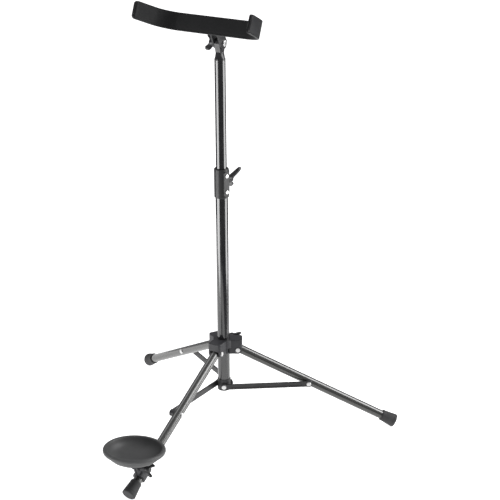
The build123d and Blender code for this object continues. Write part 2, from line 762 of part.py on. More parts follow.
def make_strut(azimuth):
    """Pressed bar from the base to the leg, with a groove along its outer face."""
    base_site = (0, strut_pivot_height)
    leg_site = (brace_radius, brace_height)
    middle_site = (brace_radius / 2, (strut_pivot_height + brace_height) / 2)
    with BuildPart() as strut:
        with BuildSketch(leg_plane(azimuth).offset(strut_inner)):
            with Locations(middle_site):
                Rectangle(strut_length, strut_height, rotation=strut_rise)
            with Locations(base_site, leg_site):
                Circle(strut_end_radius)
        extrude(amount=strut_thickness)
        with BuildSketch(leg_plane(azimuth).offset(strut_outer - strut_groove_depth)):
            with Locations(middle_site):
                SlotOverall(strut_length - strut_groove_margin, strut_groove_height, rotation=strut_rise)
        extrude(amount=strut_groove_depth, mode=Mode.SUBTRACT)
        with BuildSketch(leg_plane(azimuth).offset(strut_inner)):
            with Locations(base_site):
                Circle(pivot_pin_radius + pin_fit)
            with Locations(leg_site):
                Circle(rivet_shank_radius)
        extrude(amount=strut_thickness, mode=Mode.SUBTRACT)
    return strut


def make_strut_rivet(azimuth):
    """Outer half of the brace rivet, which turns with the brace."""
    with BuildPart() as rivet:
        with BuildSketch(leg_plane(azimuth).offset(strut_inner)):
            with Locations((brace_radius, brace_height)):
                Circle(rivet_shank_radius)
        extrude(amount=strut_thickness)
        with BuildSketch(leg_plane(azimuth).offset(strut_outer)):
            with Locations((brace_radius, brace_height)):
                Circle(rivet_head_radius)
        extrude(amount=rivet_head_height)
        outer_end = rivet.faces().sort_by(Axis((0, 0, 0), leg_plane(azimuth).z_dir))[-1]
        fillet(outer_end.edges(), rivet_head_round)
    return rivet


# Legs and braces
for number, azimuth in enumerate(leg_azimuths, start=1):
    leg_pieces = {
        f"leg_{number}_tube": make_leg_tube(azimuth),
        f"leg_{number}_plug": make_leg_plug(azimuth),
        f"leg_{number}_foot": make_foot(azimuth),
        f"leg_{number}_spacer": make_leg_spacer(azimuth),
        f"leg_{number}_rivet": make_leg_rivet(azimuth),
        f"strut_{number}": make_strut(azimuth),
        f"strut_{number}_rivet": make_strut_rivet(azimuth),
    }
    for label, piece in leg_pieces.items():
        piece.part.label = label
        export_step(piece.part, f"parts/{label}.step")

# Cup clamp on the front leg: split ring and lug
front = leg_azimuths[0]
hinge_reach = cup_along * leg_direction[0] + cup_hinge_offset * leg_normal[0]
hinge_height = meet_height + cup_along * leg_direction[1] + cup_hinge_offset * leg_normal[1]
hinge_site = (hinge_reach, hinge_height)
clamp_radius = leg_tube_radius + cup_clamp_wall
lug_root = (
    cup_along * leg_direction[0] + clamp_radius * 0.8 * leg_normal[0],
    meet_height + cup_along * leg_direction[1] + clamp_radius * 0.8 * leg_normal[1],
)
with BuildPart() as leg_clamp:
    with BuildSketch(leg_axis_plane(front, cup_along - cup_clamp_length / 2)):
        Circle(clamp_radius)
    extrude(amount=cup_clamp_length)
    fillet(leg_clamp.edges().filter_by(GeomType.CIRCLE), radius=cup_clamp_edge)
    with BuildSketch(leg_plane(front)):
        with Locations(hinge_site):
            Circle(cup_lug_radius)
        with Locations(lug_root):
            Rectangle(cup_lug_root, 1, rotation=-leg_slope)
        make_hull()
    extrude(amount=cup_lug_half_width, both=True)
    with BuildSketch(leg_axis_plane(front, cup_along - cup_clamp_length)):
        Circle(leg_tube_radius + running_fit)
    extrude(amount=cup_clamp_length * 2, mode=Mode.SUBTRACT)
    with BuildSketch(leg_plane(front)):
        with Locations((
            lug_root[0] + cup_split_middle * leg_normal[0],
            lug_root[1] + cup_split_middle * leg_normal[1],
        )):
            Rectangle(cup_clamp_length + cup_split_margin, cup_split_height, rotation=-leg_slope)
    extrude(amount=cup_split / 2, both=True, mode=Mode.SUBTRACT)
    with BuildSketch(leg_plane(front)):
        with Locations(hinge_site):
            Circle(cup_pin_radius + pin_fit)
    extrude(amount=cup_lug_half_width + 1, both=True, mode=Mode.SUBTRACT)
leg_clamp.part.label = "leg_clamp"
export_step(leg_clamp.part, "parts/leg_clamp.step")

# Cup frame: origin under the bowl, x across, y toward the column, z up the cup
lean = radians(cup_lean)
cup_up = (0, sin(lean), cos(lean))
cup_inward = (0, cos(lean), -sin(lean))
cup_origin = (
    0,
    -hinge_reach - cup_hinge_inward * cup_inward[1] + cup_hinge_below_base * cup_up[1],
    hinge_height - cup_hinge_inward * cup_inward[2] + cup_hinge_below_base * cup_up[2],
)
cup_plane = Plane(origin=cup_origin, x_dir=(1, 0, 0), z_dir=cup_up)
cup_side = Plane(origin=cup_origin, x_dir=cup_inward, z_dir=(1, 0, 0))
cup_ear_inner = cup_lug_half_width + hinge_gap
cup_ear_outer = cup_ear_inner + ear_thickness
cup_hinge_local = (cup_hinge_inward, -cup_hinge_below_base)

# Cup base: round seat with two ears
with BuildPart() as cup_base:
    with BuildSketch(cup_plane.offset(-cup_base_thickness)):
        Circle(cup_base_radius)
    extrude(amount=cup_base_thickness)
    fillet(cup_base.faces().sort_by(Axis.Z)[0].edges(), radius=cup_base_round)
    for side in (-1, 1):
        with BuildSketch(cup_side.offset(side * (cup_ear_inner + ear_thickness / 2))):
            with Locations(cup_hinge_local):
                Circle(cup_lug_radius)
            with Locations((cup_ear_shift, -cup_base_thickness + 0.5)):
                Rectangle(cup_ear_root, 1.0)
            make_hull()
        extrude(amount=ear_thickness / 2, both=True)
    with BuildSketch(cup_side):
        with Locations(cup_hinge_local):
            Circle(cup_pin_radius)
    extrude(amount=cup_ear_outer + 1, both=True, mode=Mode.SUBTRACT)
cup_base.part.label = "cup_base"
export_step(cup_base.part, "parts/cup_base.step")

# Rubber cup: shallow bowl with a rolled rim
rim_middle = cup_rim_radius - cup_roll_radius
rim_height = cup_depth - cup_roll_radius
bowl_run = rim_middle - cup_base_radius
outer_bend = (cup_base_radius + bowl_run * cup_bend_reach[0], rim_height * cup_bend_rise[0])
inner_bend = (cup_base_radius + bowl_run * cup_bend_reach[1], rim_height * cup_bend_rise[1])
floor_radius = cup_base_radius * cup_floor_share
with BuildPart() as cup_bowl:
    with BuildSketch(cup_side):
        with BuildLine():
            Polyline(
                (0, cup_wall), (0, 0), (cup_base_radius, 0))
            ThreePointArc(
                (cup_base_radius, 0),
                outer_bend,
                (rim_middle, rim_height))
            Line((rim_middle, rim_height), (rim_middle - cup_wall, rim_height))
            ThreePointArc(
                (rim_middle - cup_wall, rim_height),
                inner_bend,
                (floor_radius, cup_wall))
            Line((floor_radius, cup_wall), (0, cup_wall))
        make_face()
        with Locations((rim_middle, rim_height)):
            Circle(cup_roll_radius)
    revolve(axis=Axis(cup_origin, cup_up))
cup_bowl.part.label = "cup_bowl"
export_step(cup_bowl.part, "parts/cup_bowl.step")

# Cup bolt, spacer and wing nut
pin_origin = (0, -hinge_reach, hinge_height)
cup_pin_plane = Plane(origin=pin_origin, x_dir=(0, 1, 0), z_dir=(1, 0, 0))
with BuildPart() as cup_bolt:
    with BuildSketch(cup_pin_plane.offset(-cup_ear_outer)):
        Circle(cup_pin_radius)
    extrude(amount=cup_ear_outer * 2 + cup_spacer_length + cup_bolt_tail)
    with BuildSketch(cup_pin_plane.offset(-cup_ear_outer - cup_bolt_head_height)):
        RegularPolygon(cup_bolt_head_radius, 6)
    extrude(amount=cup_bolt_head_height)
cup_bolt.part.label = "cup_bolt"
export_step(cup_bolt.part, "parts/cup_bolt.step")

with BuildPart() as cup_spacer:
    with BuildSketch(cup_pin_plane.offset(cup_ear_outer)):
        Circle(cup_spacer_radius)
        Circle(cup_pin_radius, mode=Mode.SUBTRACT)
    extrude(amount=cup_spacer_length)
cup_spacer.part.label = "cup_spacer"
export_step(cup_spacer.part, "parts/cup_spacer.step")

cup_wing_nut = make_wing(
    cup_pin_plane.offset(cup_ear_outer + cup_spacer_length + slot_gap),
    span=12.5, lift=12.0, bore=cup_pin_radius + pin_fit, depth=9.0, turn=60.0,
)
cup_wing_nut.part.label = "cup_wing_nut"
export_step(cup_wing_nut.part, "parts/cup_wing_nut.step")
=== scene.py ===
import bpy
import json
import math
from mathutils import Matrix, Vector


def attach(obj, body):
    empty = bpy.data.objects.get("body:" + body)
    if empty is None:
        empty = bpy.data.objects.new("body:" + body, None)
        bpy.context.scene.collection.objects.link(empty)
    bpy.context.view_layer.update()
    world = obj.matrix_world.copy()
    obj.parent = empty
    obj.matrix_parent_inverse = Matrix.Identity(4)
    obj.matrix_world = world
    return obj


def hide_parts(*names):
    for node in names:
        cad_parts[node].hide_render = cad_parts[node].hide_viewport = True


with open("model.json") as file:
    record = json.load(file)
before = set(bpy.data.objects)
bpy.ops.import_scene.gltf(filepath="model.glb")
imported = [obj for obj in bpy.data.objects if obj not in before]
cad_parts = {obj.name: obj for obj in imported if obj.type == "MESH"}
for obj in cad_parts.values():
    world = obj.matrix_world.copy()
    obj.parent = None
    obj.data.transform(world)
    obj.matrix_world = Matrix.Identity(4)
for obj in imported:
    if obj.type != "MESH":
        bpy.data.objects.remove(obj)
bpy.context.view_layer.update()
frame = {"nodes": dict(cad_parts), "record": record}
nodes = frame["nodes"]
scene = bpy.context.scene
print("frame loaded:", len(nodes), "nodes")


def clearSelection():
    if bpy.context.mode != "OBJECT":
        bpy.ops.object.mode_set(mode="OBJECT")
    bpy.ops.object.select_all(action="DESELECT")


clearSelection()


cameraSet = {
    "azimuth": 31.5,
    "distance": 2.566,
    "height": 1.323,
    "pitch": 20.82,
    "yaw": 1.09,
    "roll": -0.36,
    "lens": 111.7,
    "sensor": 36,
    "reach": 50,
}


def makeCamera(s):
    data = bpy.data.cameras.new("camera")
    data.lens = s["lens"]
    data.sensor_width = s["sensor"]
    data.clip_end = s["reach"]
    cam = bpy.data.objects.new("camera", data)
    scene.collection.objects.link(cam)
    yaw = math.radians(s["yaw"])
    pitch = math.radians(s["pitch"])
    roll = math.radians(s["roll"])
    ahead = Vector((math.sin(yaw) * math.cos(pitch), math.cos(yaw) * math.cos(pitch), -math.sin(pitch)))
    right = Vector((math.cos(yaw), -math.sin(yaw), 0))
    up = right.cross(ahead)
    side = right * math.cos(roll) + up * math.sin(roll)
    top = up * math.cos(roll) - right * math.sin(roll)
    turn = Matrix.Rotation(math.radians(s["azimuth"]), 4, "Z")
    place = Matrix((side, top, -ahead)).transposed().to_4x4()
    place.translation = Vector((0, -s["distance"], s["height"]))
    cam.matrix_world = turn @ place
    scene.camera = cam


makeCamera(cameraSet)

# soft boxes stand round the camera's line of sight: bearing in degrees to its right
lightSet = {
    "leftBox": {"bearing": -71, "distance": 2.3, "height": -0.45, "wide": 2.1, "tall": 1.3, "power": 40},
    "rightBox": {"bearing": 83, "distance": 2.3, "height": -0.15, "wide": 1.7, "tall": 0.95, "power": 20.5},
    "topBox": {"bearing": 92, "distance": 2.2, "height": 1.7, "wide": 1.7, "tall": 1.7, "power": 50},
    "highLeftBox": {"bearing": -140, "distance": 1.5, "height": 2.4, "wide": 1.3, "tall": 1.3, "power": 7},
}


aimHeight = 0.42


def makeLights(boxes):
    for name, s in boxes.items():
        bearing = math.radians(cameraSet["azimuth"] + s["bearing"])
        spot = Vector((
            math.sin(bearing) * s["distance"],
            -math.cos(bearing) * s["distance"],
            s["height"],
        ))
        data = bpy.data.lights.new(name, "AREA")
        data.shape = "RECTANGLE"
        data.size = s["wide"]
        data.size_y = s["tall"]
        data.energy = s["power"]
        lamp = bpy.data.objects.new(name, data)
        scene.collection.objects.link(lamp)
        lamp.location = spot
        lamp.rotation_euler = (Vector((0, 0, aimHeight)) - spot).to_track_quat("-Z", "Y").to_euler()


makeLights(lightSet)

worldSet = {"low": (0.10, 0.10, 0.105), "high": (0.42, 0.42, 0.43), "from": -0.3, "to": 0.8}


def makeWorld(s):
    world = bpy.data.worlds.new("studio")
    scene.world = world
    world.use_nodes = True
    tree = world.node_tree
    tree.nodes.clear()
    out = tree.nodes.new("ShaderNodeOutputWorld")
    shade = tree.nodes.new("ShaderNodeBackground")
    ramp = tree.nodes.new("ShaderNodeValToRGB")
    split = tree.nodes.new("ShaderNodeSeparateXYZ")
    where = tree.nodes.new("ShaderNodeTexCoord")
    span = tree.nodes.new("ShaderNodeMapRange")
    span.inputs["From Min"].default_value = s["from"]
    span.inputs["From Max"].default_value = s["to"]
    ramp.color_ramp.elements[0].color = (*s["low"], 1)
    ramp.color_ramp.elements[1].color = (*s["high"], 1)
    tree.links.new(where.outputs["Generated"], split.inputs[0])
    tree.links.new(split.outputs["Z"], span.inputs["Value"])
    tree.links.new(span.outputs["Result"], ramp.inputs["Fac"])
    tree.links.new(ramp.outputs["Color"], shade.inputs["Color"])
    tree.links.new(shade.outputs["Background"], out.inputs["Surface"])


makeWorld(worldSet)
scene.view_settings.view_transform = "Standard"
print("camera and lights placed")


def newMaterial(name):
    mat = bpy.data.materials.new(name)
    mat.use_nodes = True
    return mat, mat.node_tree, mat.node_tree.nodes["Principled BSDF"]


def noiseNode(tree, scale, detail=3.0, stretch=(1, 1, 1), rough=0.55):
    where = tree.nodes.new("ShaderNodeTexCoord")
    mapping = tree.nodes.new("ShaderNodeMapping")
    mapping.inputs["Scale"].default_value = stretch
    noise = tree.nodes.new("ShaderNodeTexNoise")
    noise.inputs["Scale"].default_value = scale
    noise.inputs["Detail"].default_value = detail
    noise.inputs["Roughness"].default_value = rough
    tree.links.new(where.outputs["Object"], mapping.inputs["Vector"])
    tree.links.new(mapping.outputs["Vector"], noise.inputs["Vector"])
    return noise.outputs["Fac"]


def rampNode(tree, fac, lowAt, highAt, lowColour, highColour):
    ramp = tree.nodes.new("ShaderNodeValToRGB")
    ramp.color_ramp.elements[0].position = lowAt
    ramp.color_ramp.elements[1].position = highAt
    ramp.color_ramp.elements[0].color = (*lowColour, 1)
    ramp.color_ramp.elements[1].color = (*highColour, 1)
    tree.links.new(fac, ramp.inputs["Fac"])
    return ramp.outputs["Color"]


def rangeNode(tree, fac, low, high, fromLow=0.3, fromHigh=0.7):
    span = tree.nodes.new("ShaderNodeMapRange")
    span.inputs["From Min"].default_value = fromLow
    span.inputs["From Max"].default_value = fromHigh
    span.inputs["To Min"].default_value = low
    span.inputs["To Max"].default_value = high
    tree.links.new(fac, span.inputs["Value"])
    return span.outputs["Result"]


def bumpNode(tree, height, strength, distance, below=None):
    bump = tree.nodes.new("ShaderNodeBump")
    bump.inputs["Strength"].default_value = strength
    bump.inputs["Distance"].default_value = distance
    tree.links.new(height, bump.inputs["Height"])
    if below is not None:
        tree.links.new(below, bump.inputs["Normal"])
    return bump.outputs["Normal"]


def multiplyNode(tree, a, b):
    node = tree.nodes.new("ShaderNodeMath")
    node.operation = "MULTIPLY"
    tree.links.new(a, node.inputs[0])
    tree.links.new(b, node.inputs[1])
    return node.outputs[0]


# texture scales and bump heights that the finishes of one kind share
paintSet = {"haze": 22, "rub": 60, "peel": 420, "rubBump": 0.05, "rubHeight": 0.0002, "peelBump": 0.06,
            "peelHeight": 0.0003, "coatRough": 0.06}
mouldSet = {"drift": 35, "height": 0.0003}
plateSet = {"drift": 90, "spin": 900, "spinStretch": (1, 1, 0.2), "bump": 0.08, "height": 0.0002}
foamSet = {"drift": 28, "fine": 700, "cell": 900, "smooth": 0.78, "rough": 0.95, "cellBump": 0.25,
           "cellHeight": 0.0004, "fineBump": 0.15, "fineHeight": 0.0003, "specular": 0.35, "sheen": 0.12,
           "sheenRough": 0.5}
sweepSet = {"drift": 3, "rough": 0.9, "specular": 0.1}


def glossPaint(name, s):
    # sprayed enamel: faint orange peel, handling haze and fine rub marks along the tube
    mat, tree, shader = newMaterial(name)
    haze = noiseNode(tree, paintSet["haze"], 4)
    rub = noiseNode(tree, paintSet["rub"], 5, s["rubStretch"])
    tint = rampNode(tree, haze, 0.3, 0.75, s["dark"], s["light"])
    tree.links.new(tint, shader.inputs["Base Color"])
    blend = multiplyNode(tree, haze, rub)
    tree.links.new(rangeNode(tree, blend, s["smooth"], s["rough"], 0.12, 0.42), shader.inputs["Roughness"])
    peel = noiseNode(tree, paintSet["peel"], 2)
    scratch = bumpNode(tree, rub, paintSet["rubBump"], paintSet["rubHeight"])
    skin = bumpNode(tree, peel, paintSet["peelBump"], paintSet["peelHeight"], scratch)
    tree.links.new(skin, shader.inputs["Normal"])
    shader.inputs["Specular IOR Level"].default_value = s["specular"]
    shader.inputs["Coat Weight"].default_value = s["coat"]
    shader.inputs["Coat Roughness"].default_value = paintSet["coatRough"]
    return mat


def mouldedPlastic(name, s):
    # spark-eroded mould texture with slow colour drift and dust caught in the grain
    mat, tree, shader = newMaterial(name)
    drift = noiseNode(tree, mouldSet["drift"], 4)
    grain = noiseNode(tree, s["grain"], 2, rough=0.7)
    tint = rampNode(tree, drift, 0.3, 0.72, s["dark"], s["light"])
    tree.links.new(tint, shader.inputs["Base Color"])
    tree.links.new(rangeNode(tree, drift, s["smooth"], s["rough"]), shader.inputs["Roughness"])
    tree.links.new(bumpNode(tree, grain, s["bump"], mouldSet["height"]), shader.inputs["Normal"])
    shader.inputs["Specular IOR Level"].default_value = s["specular"]
    return mat


def platedSteel(name, s):
    mat, tree, shader = newMaterial(name)
    drift = noiseNode(tree, plateSet["drift"], 4)
    spin = noiseNode(tree, plateSet["spin"], 3, plateSet["spinStretch"])
    tint = rampNode(tree, drift, 0.25, 0.75, s["dark"], s["light"])
    tree.links.new(tint, shader.inputs["Base Color"])
    tree.links.new(rangeNode(tree, drift, s["smooth"], s["rough"]), shader.inputs["Roughness"])
    tree.links.new(bumpNode(tree, spin, plateSet["bump"], plateSet["height"]), shader.inputs["Normal"])
    shader.inputs["Metallic"].default_value = 1.0
    return mat


def foamSkin(name, s):
    # closed-cell foam: fine pores under a matt skin, with faint pressed patches
    mat, tree, shader = newMaterial(name)
    drift = noiseNode(tree, foamSet["drift"], 4)
    fine = noiseNode(tree, foamSet["fine"], 3, rough=0.7)
    where = tree.nodes.new("ShaderNodeTexCoord")
    cell = tree.nodes.new("ShaderNodeTexVoronoi")
    cell.inputs["Scale"].default_value = foamSet["cell"]
    tree.links.new(where.outputs["Object"], cell.inputs["Vector"])
    tint = rampNode(tree, drift, 0.3, 0.75, s["dark"], s["light"])
    tree.links.new(tint, shader.inputs["Base Color"])
    tree.links.new(rangeNode(tree, fine, foamSet["smooth"], foamSet["rough"]), shader.inputs["Roughness"])
    pores = bumpNode(tree, cell.outputs["Distance"], foamSet["cellBump"], foamSet["cellHeight"])
    skin = bumpNode(tree, fine, foamSet["fineBump"], foamSet["fineHeight"], pores)
    tree.links.new(skin, shader.inputs["Normal"])
    shader.inputs["Specular IOR Level"].default_value = foamSet["specular"]
    shader.inputs["Sheen Weight"].default_value = foamSet["sheen"]
    shader.inputs["Sheen Roughness"].default_value = foamSet["sheenRough"]
    return mat


def glowCard(name, strength):
    mat, tree, shader = newMaterial(name)
    shader.inputs["Base Color"].default_value = (0, 0, 0, 1)
    shader.inputs["Emission Color"].default_value = (1, 1, 1, 1)
    shader.inputs["Emission Strength"].default_value = strength
    return mat


def paleFloor(name, s):
    # white sweep: mostly its own light, so that only the soft contact shadow shows
    mat, tree, shader = newMaterial(name)
    drift = noiseNode(tree, sweepSet["drift"], 3)
    tint = rampNode(tree, drift, 0.3, 0.7, s["dark"], s["light"])
    tree.links.new(tint, shader.inputs["Base Color"])
    tree.links.new(tint, shader.inputs["Emission Color"])
    shader.inputs["Emission Strength"].default_value = s["glow"]
    shader.inputs["Roughness"].default_value = sweepSet["rough"]
    shader.inputs["Specular IOR Level"].default_value = sweepSet["specular"]
    return mat


finishes = {
    "column": glossPaint("columnEnamel", {
        "dark": (0.006, 0.006, 0.007), "light": (0.012, 0.012, 0.013), "smooth": 0.10, "rough": 0.24,
        "rubStretch": (20, 20, 0.6), "specular": 1.0, "coat": 1.0}),
    "legs": glossPaint("legEnamel", {
        "dark": (0.018, 0.018, 0.016), "light": (0.028, 0.028, 0.025), "smooth": 0.17, "rough": 0.33,
        "rubStretch": (6, 6, 6), "specular": 1.0, "coat": 0.8}),
    "satinSteel": glossPaint("satinSteelPaint", {
        "dark": (0.018, 0.018, 0.019), "light": (0.035, 0.035, 0.036), "smooth": 0.3, "rough": 0.45,
        "rubStretch": (4, 4, 4), "specular": 0.45, "coat": 0.0}),
    "plastic": mouldedPlastic("mouldedPlastic", {
        "dark": (0.022, 0.022, 0.025), "light": (0.038, 0.038, 0.042), "grain": 1400, "bump": 0.22,
        "smooth": 0.38, "rough": 0.52, "specular": 0.5}),
    "gripPlastic": mouldedPlastic("gripPlastic", {
        "dark": (0.014, 0.014, 0.015), "light": (0.030, 0.030, 0.032), "grain": 1000, "bump": 0.12,
        "smooth": 0.18, "rough": 0.36, "specular": 0.55}),
    "zinc": platedSteel("zincPlate", {
        "dark": (0.74, 0.74, 0.74), "light": (0.93, 0.93, 0.92), "smooth": 0.28, "rough": 0.42}),
    "rubber": mouldedPlastic("footRubber", {
        "dark": (0.022, 0.022, 0.023), "light": (0.045, 0.045, 0.046), "grain": 900, "bump": 0.3,
        "smooth": 0.55, "rough": 0.72, "specular": 0.4}),
    "cupRubber": mouldedPlastic("cupRubber", {
        "dark": (0.060, 0.061, 0.061), "light": (0.082, 0.083, 0.083), "grain": 800, "bump": 0.2,
        "smooth": 0.46, "rough": 0.58, "specular": 0.5}),
    "foam": foamSkin("cradleFoam", {"dark": (0.0045, 0.0047, 0.0052), "light": (0.008, 0.0083, 0.009)}),
    "glow": glowCard("tableGlow", 0.95),
    "floor": paleFloor("studioFloor", {
        "dark": (0.80, 0.80, 0.80), "light": (0.84, 0.84, 0.84), "glow": 1.2}),
}


def setFinish(obj, key):
    obj.data.materials.clear()
    obj.data.materials.append(finishes[key])


finishOf = {
    "lower_tube": "column", "upper_tube": "column", "tilt_head": "gripPlastic", "riser_guide": "plastic",
    "collar": "satinSteel", "collar_bush": "plastic", "hub": "plastic", "leg_clamp": "plastic",
    "cup_base": "plastic", "cup_spacer": "plastic", "base_fitting": "satinSteel",
    "cradle_bracket": "satinSteel", "cradle_band": "satinSteel", "cradle_pad": "foam",
    "cup_bowl": "cupRubber", "collar_wing": "gripPlastic", "hub_wing": "gripPlastic",
    "tilt_wing_nut": "gripPlastic", "cup_wing_nut": "gripPlastic",
}
for name, obj in nodes.items():
    key = finishOf.get(name)
    if key is None and name.endswith("_tube"):
        key = "legs"
    elif key is None and name.endswith("_foot"):
        key = "rubber"
    elif key is None and name.startswith("strut_") and not name.endswith(("rivet", "rivets")):
        key = "satinSteel"
    elif key is None and name.endswith(("_plug", "_spacer")):
        key = "plastic"
    elif key is None:
        key = "zinc"
    setFinish(obj, key)
print("finishes set")


def finishPiece(obj, key, body, slotName, *stands):
    clearSelection()
    bpy.context.view_layer.objects.active = obj
    obj.select_set(True)
    bpy.ops.object.transform_apply(location=True, rotation=True, scale=True)
    setFinish(obj, key)
    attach(obj, body)
    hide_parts(*stands)


def editFaces(obj, keep):
    # leaves only the faces whose middle passes the test selected, in edit mode
    bpy.ops.object.mode_set(mode="OBJECT")
    for face in obj.data.polygons:
        face.select = keep(face.center)
    for edge in obj.data.edges:
        edge.select = False
    for vert in obj.data.vertices:
        vert.select = False
    for face in obj.data.polygons:
        if face.select:
            for i in face.vertices:
                obj.data.vertices[i].select = True
    bpy.ops.object.mode_set(mode="EDIT")
    bpy.ops.mesh.select_mode(type="FACE")


def applyModifier(obj, kind, name, **settings):
    clearSelection()
    bpy.context.view_layer.objects.active = obj
    obj.select_set(True)
    mod = obj.modifiers.new(name, kind)
    for key, value in settings.items():
        setattr(mod, key, value)
    bpy.ops.object.modifier_apply(modifier=name)


def axisFrame(origin, across, axis):
    # local x runs across and local z along the axis
    x = Vector(across).normalized()
    z = Vector(axis).normalized()
    y = z.cross(x)
    frameMatrix = Matrix((x, y, z)).transposed().to_4x4()
    frameMatrix.translation = Vector(origin)
    return frameMatrix


def lathe(name, stations, place, segments):
    # rings of (height, radius) along local z, closed at both ends
    clearSelection()
    first = stations[0]
    bpy.ops.mesh.primitive_circle_add(
        vertices=segments, radius=first[1], fill_type="NGON", location=(0, 0, first[0]))
    obj = bpy.context.object
    obj.name = name
    bpy.ops.object.transform_apply(location=True, rotation=True, scale=True)
    bpy.ops.object.mode_set(mode="EDIT")
    bpy.ops.mesh.select_mode(type="FACE")
    bpy.ops.mesh.select_all(action="SELECT")
    bpy.ops.mesh.inset(thickness=first[1] * 0.5)
    bpy.ops.mesh.select_mode(type="EDGE")
    bpy.ops.mesh.select_all(action="DESELECT")
    bpy.ops.mesh.select_non_manifold()
    radius, height = first[1], first[0]
    for nextHeight, nextRadius in stations[1:]:
        bpy.ops.mesh.extrude_edges_move(
            TRANSFORM_OT_translate={"value": (0, 0, nextHeight - height), "orient_type": "GLOBAL"})
        if abs(nextRadius - radius) > 1e-9:
            ratio = nextRadius / radius
            bpy.ops.transform.resize(value=(ratio, ratio, 1), center_override=(0, 0, nextHeight))
        radius, height = nextRadius, nextHeight
    bpy.ops.mesh.edge_face_add()
    bpy.ops.mesh.inset(thickness=radius * 0.5)
    bpy.ops.mesh.select_all(action="SELECT")
    bpy.ops.mesh.remove_doubles(threshold=1e-6)
    bpy.ops.mesh.normals_make_consistent(inside=False)
    bpy.ops.object.mode_set(mode="OBJECT")
    obj.matrix_world = place
    bpy.ops.object.transform_apply(location=True, rotation=True, scale=True)
    bpy.ops.object.shade_smooth_by_angle(angle=math.radians(38))
    return obj


gripSet = {
    "collar_wing": {"body": "collar_lock", "span": 0.0242, "lift": 0.0226, "depth": 0.0110, "boss": 0.0066,
                    "thick": 0.0112, "root": 0.0120, "tip": 0.0165, "turn": 118},
    "hub_wing": {"body": "hub_lock", "span": 0.0192, "lift": 0.0110, "depth": 0.0100, "boss": 0.0060,
                 "thick": 0.0086, "root": 0.0100, "tip": 0.0130, "turn": 158},
    "tilt_wing_nut": {"body": "tilt_nut", "span": 0.0182, "lift": 0.0105, "depth": 0.0094, "boss": 0.0070,
                      "thick": 0.0104, "root": 0.0140, "tip": 0.0200, "turn": 115},
    "cup_wing_nut": {"body": "cup_nut", "span": 0.0134, "lift": 0.0120, "depth": 0.0094, "boss": 0.0062,
                     "thick": 0.0080, "root": 0.0100, "tip": 0.0132, "turn": 60},
}


# paddle stations: share of the way out, height and width against the root
paddleSteps = ((0.45, 0.92, 0.86), (0.75, 1.12, 0.94), (0.92, 1.04, 0.9), (1.0, 0.72, 0.62))
mouldedSet = {"stub": 0.002, "stubEnd": 0.0008, "seat": 0.45, "tipShare": 0.32, "tipLift": 0.0004,
              "voxel": 0.00042, "soften": 0.6, "passes": 5, "levels": 3, "segments": 32}


def makeGrip(name, s, place):
    # moulded butterfly grip: dished boss and two flaring paddles, melted together
    boss = lathe(name + "Boss", [
        (0.0, s["boss"] * 0.86), (0.0006, s["boss"]), (s["depth"] * 0.7, s["boss"] * 0.97),
        (s["depth"] * 0.94, s["boss"] * 0.8), (s["depth"], s["boss"] * 0.5)],
        Matrix.Identity(4), mouldedSet["segments"])
    parts = [boss]
    for side in (-1, 1):
        clearSelection()
        bpy.ops.mesh.primitive_cube_add(size=1, location=(0, 0, 0))
        blade = bpy.context.object
        blade.scale = (mouldedSet["stub"], s["thick"], s["root"])
        rootMiddle = Vector((side * s["boss"] * mouldedSet["seat"], 0, s["depth"] * 0.5))
        tipMiddle = Vector((side * (s["span"] - s["tip"] * 0.5), 0, s["lift"]))
        blade.location = rootMiddle
        bpy.ops.object.transform_apply(location=True, rotation=True, scale=True)
        editFaces(blade, lambda c: side * (c.x - rootMiddle.x) > mouldedSet["stubEnd"])
        spot = rootMiddle.copy()
        for share, tall, wide in paddleSteps:
            goal = rootMiddle.lerp(tipMiddle, share)
            if share == 1.0:
                beyond = side * s["tip"] * mouldedSet["tipShare"]
                goal = tipMiddle + Vector((beyond, 0, mouldedSet["tipLift"]))
            bpy.ops.mesh.extrude_region_move(TRANSFORM_OT_translate={"value": goal - spot})
            bpy.ops.transform.resize(value=(1, wide, tall), center_override=goal)
            spot = goal
        bpy.ops.object.mode_set(mode="OBJECT")
        levels = mouldedSet["levels"]
        applyModifier(blade, "SUBSURF", "round", levels=levels, render_levels=levels)
        parts.append(blade)
    clearSelection()
    for part in parts:
        part.select_set(True)
    bpy.context.view_layer.objects.active = boss
    bpy.ops.object.join()
    grip = bpy.context.object
    grip.name = name
    applyModifier(grip, "REMESH", "melt", mode="VOXEL", voxel_size=mouldedSet["voxel"])
    applyModifier(grip, "SMOOTH", "soften", factor=mouldedSet["soften"], iterations=mouldedSet["passes"])
    grip.matrix_world = place
    bpy.ops.object.transform_apply(location=True, rotation=True, scale=True)
    bpy.ops.object.shade_smooth()
    return grip


def gripPlace(origin, flat, axis, turn):
    # flat and axis are the screw's own directions; the paddles are turned about the axis
    base = axisFrame(origin, flat, axis)
    return base @ Matrix.Rotation(math.radians(turn), 4, "Z")


def jointFacts(name):
    for joint in frame["record"]["behaviour"]["joints"]:
        if joint["name"] == name:
            return Vector(joint.get("pos_m") or (0, 0, 0)), Vector(joint["axis"]).normalized()


def nearEnd(node, point, axis):
    # where a node starts along an axis, measured on its mesh
    return min((v.co - point).dot(axis) for v in nodes[node].data.vertices)


